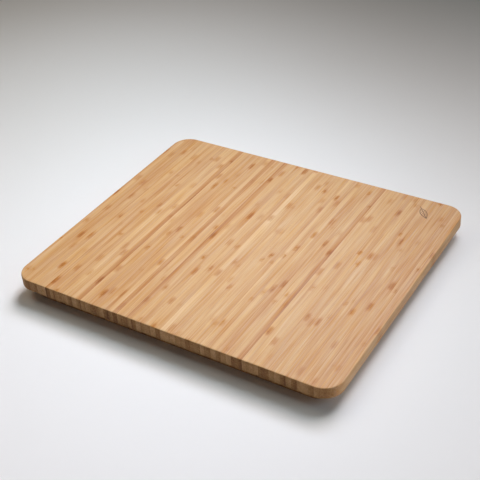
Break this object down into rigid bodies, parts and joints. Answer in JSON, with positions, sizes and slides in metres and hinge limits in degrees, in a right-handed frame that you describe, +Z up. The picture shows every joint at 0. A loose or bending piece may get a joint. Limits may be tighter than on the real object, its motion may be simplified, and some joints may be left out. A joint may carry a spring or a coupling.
{
  "type": "cutting board",
  "caption": "Rectangular bamboo cutting board of two glued strip panels, with rounded corners and a set-back base that leaves a finger step under every side.",
  "frame": {"origin": "on the resting plane, under the middle of the board", "axes": "+X across the strips to the right, +Y along the strips to the back, +Z up through the working face"},
  "size_m": [0.45, 0.385, 0.031],
  "materials": {
    "top_bamboo": "oiled satin, edge-grain strips",
    "base_bamboo": "oiled satin, edge-grain strips",
    "adhesive": "thin cured adhesive lines, flush with the wood"
  },
  "bodies": {
    "root": {"top_edge_strip_left": "top_bamboo", "top_strips_01": "top_bamboo", "top_strips_02": "top_bamboo", "top_strips_03": "top_bamboo", "top_strips_04": "top_bamboo", "top_strips_05": "top_bamboo", "top_strips_06": "top_bamboo", "top_strips_07": "top_bamboo", "top_strips_08": "top_bamboo", "top_strips_09": "top_bamboo", "top_strips_10": "top_bamboo", "top_strips_11": "top_bamboo", "top_strips_12": "top_bamboo", "top_strips_13": "top_bamboo", "top_strips_14": "top_bamboo", "top_strips_15": "top_bamboo", "top_strips_16": "top_bamboo", "top_strips_17": "top_bamboo", "top_strips_18": "top_bamboo", "top_strips_19": "top_bamboo", "top_strips_20": "top_bamboo", "top_strips_21": "top_bamboo", "top_strips_22": "top_bamboo", "top_strips_23": "top_bamboo", "top_strips_24": "top_bamboo", "top_strips_25": "top_bamboo", "top_strips_26": "top_bamboo", "top_strips_27": "top_bamboo", "top_strips_28": "top_bamboo", "top_strips_29": "top_bamboo", "top_strips_30": "top_bamboo", "top_strips_31": "top_bamboo", "top_strips_32": "top_bamboo", "top_edge_strip_right": "top_bamboo", "top_glue_lines": "adhesive", "panel_glue_layer": "adhesive", "base_edge_strip_left": "base_bamboo", "base_strips_01": "base_bamboo", "base_strips_02": "base_bamboo", "base_strips_03": "base_bamboo", "base_strips_04": "base_bamboo", "base_strips_05": "base_bamboo", "base_strips_06": "base_bamboo", "base_strips_07": "base_bamboo", "base_strips_08": "base_bamboo", "base_strips_09": "base_bamboo", "base_strips_10": "base_bamboo", "base_strips_11": "base_bamboo", "base_strips_12": "base_bamboo", "base_strips_13": "base_bamboo", "base_strips_14": "base_bamboo", "base_strips_15": "base_bamboo", "base_strips_16": "base_bamboo", "base_strips_17": "base_bamboo", "base_strips_18": "base_bamboo", "base_strips_19": "base_bamboo", "base_strips_20": "base_bamboo", "base_strips_21": "base_bamboo", "base_edge_strip_right": "base_bamboo", "base_glue_lines": "adhesive"}
  },
  "joints": []
}
